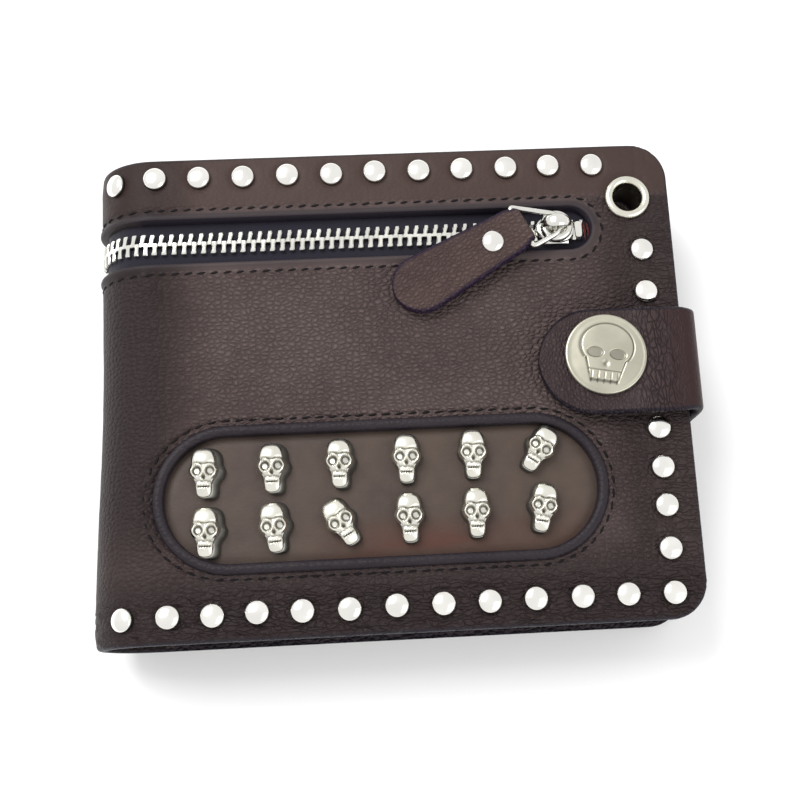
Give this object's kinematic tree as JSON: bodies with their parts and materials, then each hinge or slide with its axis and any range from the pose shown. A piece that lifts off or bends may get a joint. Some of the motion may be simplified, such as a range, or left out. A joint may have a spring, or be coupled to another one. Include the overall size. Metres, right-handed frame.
{
  "type": "chain wallet",
  "caption": "Studded leather bifold wallet with a zipped coin pocket, an oval panel of cast studs, a snap strap and a chain eyelet.",
  "frame": {"origin": "centre of the footprint on the surface that the closed wallet lies on", "axes": "+X from the fold to the free edge, +Y up the wallet to the edge beside the zip, +Z out of the front cover"},
  "size_m": [0.1204, 0.0976, 0.0299],
  "materials": {
    "leather": "dark brown pebbled grain, satin",
    "bead_leather": "smooth rolled dark edge",
    "inset_leather": "smooth mid-brown, satin",
    "inner_leather": "fine grain, satin",
    "lining": "plain woven, matt",
    "zip_tape": "ribbed woven tape, matt",
    "zip_metal": "bright nickel",
    "stud_metal": "bright nickel domes",
    "skull_metal": "cast, polished high spots, dark recesses",
    "eyelet_metal": "nickel, lightly aged",
    "snap_metal": "antique nickel, satin"
  },
  "bodies": {
    "back_wing": {"back_cover": "leather", "back_lining": "lining", "back_card_base": "inner_leather", "back_card_pocket_1": "inner_leather", "back_card_pocket_2": "inner_leather", "back_card_pocket_3": "inner_leather", "strap_root": "leather", "zip_back": "zip_tape", "zip_bottom_stop": "zip_metal"},
    "spine_low": {"spine_leather_3": "leather", "spine_lining_3": "lining", "zip_spine_3": "zip_tape"},
    "spine_mid": {"spine_leather_2": "leather", "spine_lining_2": "lining", "zip_spine_2": "zip_tape"},
    "spine_high": {"spine_leather_1": "leather", "spine_lining_1": "lining", "zip_spine_1": "zip_tape", "fold_stud_top": "stud_metal", "fold_stud_bottom": "stud_metal"},
    "front_wing": {"front_cover": "leather", "studs_top": "stud_metal", "studs_bottom": "stud_metal", "studs_right": "stud_metal", "zip_tape_upper": "zip_tape", "zip_tape_lower": "zip_tape", "zip_top_stop": "zip_metal", "window_bead": "bead_leather", "inset_panel": "inset_leather", "skull_top_1": "skull_metal", "skull_top_2": "skull_metal", "skull_top_3": "skull_metal", "skull_top_4": "skull_metal", "skull_top_5": "skull_metal", "skull_top_6": "skull_metal", "skull_bottom_1": "skull_metal", "skull_bottom_2": "skull_metal", "skull_bottom_3": "skull_metal", "skull_bottom_4": "skull_metal", "skull_bottom_5": "skull_metal", "skull_bottom_6": "skull_metal", "eyelet": "eyelet_metal", "eyelet_washer": "eyelet_metal", "coin_pocket": "lining", "front_lining": "lining", "front_card_base": "inner_leather", "front_card_pocket_1": "inner_leather", "front_card_pocket_2": "inner_leather", "front_card_pocket_3": "inner_leather", "snap_stud": "snap_metal", "snap_post": "snap_metal"},
    "slider": {"zip_slider": "zip_metal", "slider_lower_plate": "zip_metal"},
    "ring": {"pull_ring": "zip_metal"},
    "tab": {"pull_tab": "leather", "tab_rivet": "stud_metal"},
    "strap_side": {"strap_riser": "leather"},
    "strap_front": {"strap_flap": "leather", "snap_cap": "snap_metal", "snap_socket": "snap_metal"}
  },
  "joints": [
    {"name": "fold_low", "type": "hinge", "parent": "back_wing", "child": "spine_low", "pos_m": [-0.05279, 0, 0.00091], "axis": [0, -1, 0], "range_deg": [0, 43]},
    {"name": "fold_mid_low", "type": "hinge", "parent": "spine_low", "child": "spine_mid", "pos_m": [-0.05929, 0, 0.00741], "axis": [0, -1, 0], "range_deg": [0, 43]},
    {"name": "fold_mid_high", "type": "hinge", "parent": "spine_mid", "child": "spine_high", "pos_m": [-0.05929, 0, 0.01659], "axis": [0, -1, 0], "range_deg": [0, 43]},
    {"name": "fold_open", "type": "hinge", "parent": "spine_high", "child": "front_wing", "pos_m": [-0.05279, 0, 0.02309], "axis": [0, -1, 0], "range_deg": [0, 43]},
    {"name": "zip_slide", "type": "slide", "parent": "front_wing", "child": "slider", "axis": [-1, 0, 0], "range_m": [0, 0.073]},
    {"name": "ring_swivel", "type": "hinge", "parent": "slider", "child": "ring", "pos_m": [0.0335, 0.0308, 0.027], "axis": [0, 0, 1], "range_deg": [-14, 14]},
    {"name": "tab_lift", "type": "hinge", "parent": "ring", "child": "tab", "pos_m": [0.02612, 0.03028, 0.027], "axis": [-0.0698, 0.9976, 0], "range_deg": [0, 95]},
    {"name": "strap_bend", "type": "hinge", "parent": "back_wing", "child": "strap_side", "pos_m": [0.0602, 0, 0.0033], "axis": [0, 1, 0], "range_deg": [0, 86]},
    {"name": "strap_unsnap", "type": "hinge", "parent": "strap_side", "child": "strap_front", "pos_m": [0.0602, 0, 0.0282], "axis": [0, 1, 0], "range_deg": [0, 90]}
  ],
  "couplings": [
    {"joint": "fold_low", "follows": "fold_open", "ratio": 1},
    {"joint": "fold_mid_low", "follows": "fold_open", "ratio": 1},
    {"joint": "fold_mid_high", "follows": "fold_open", "ratio": 1}
  ]
}
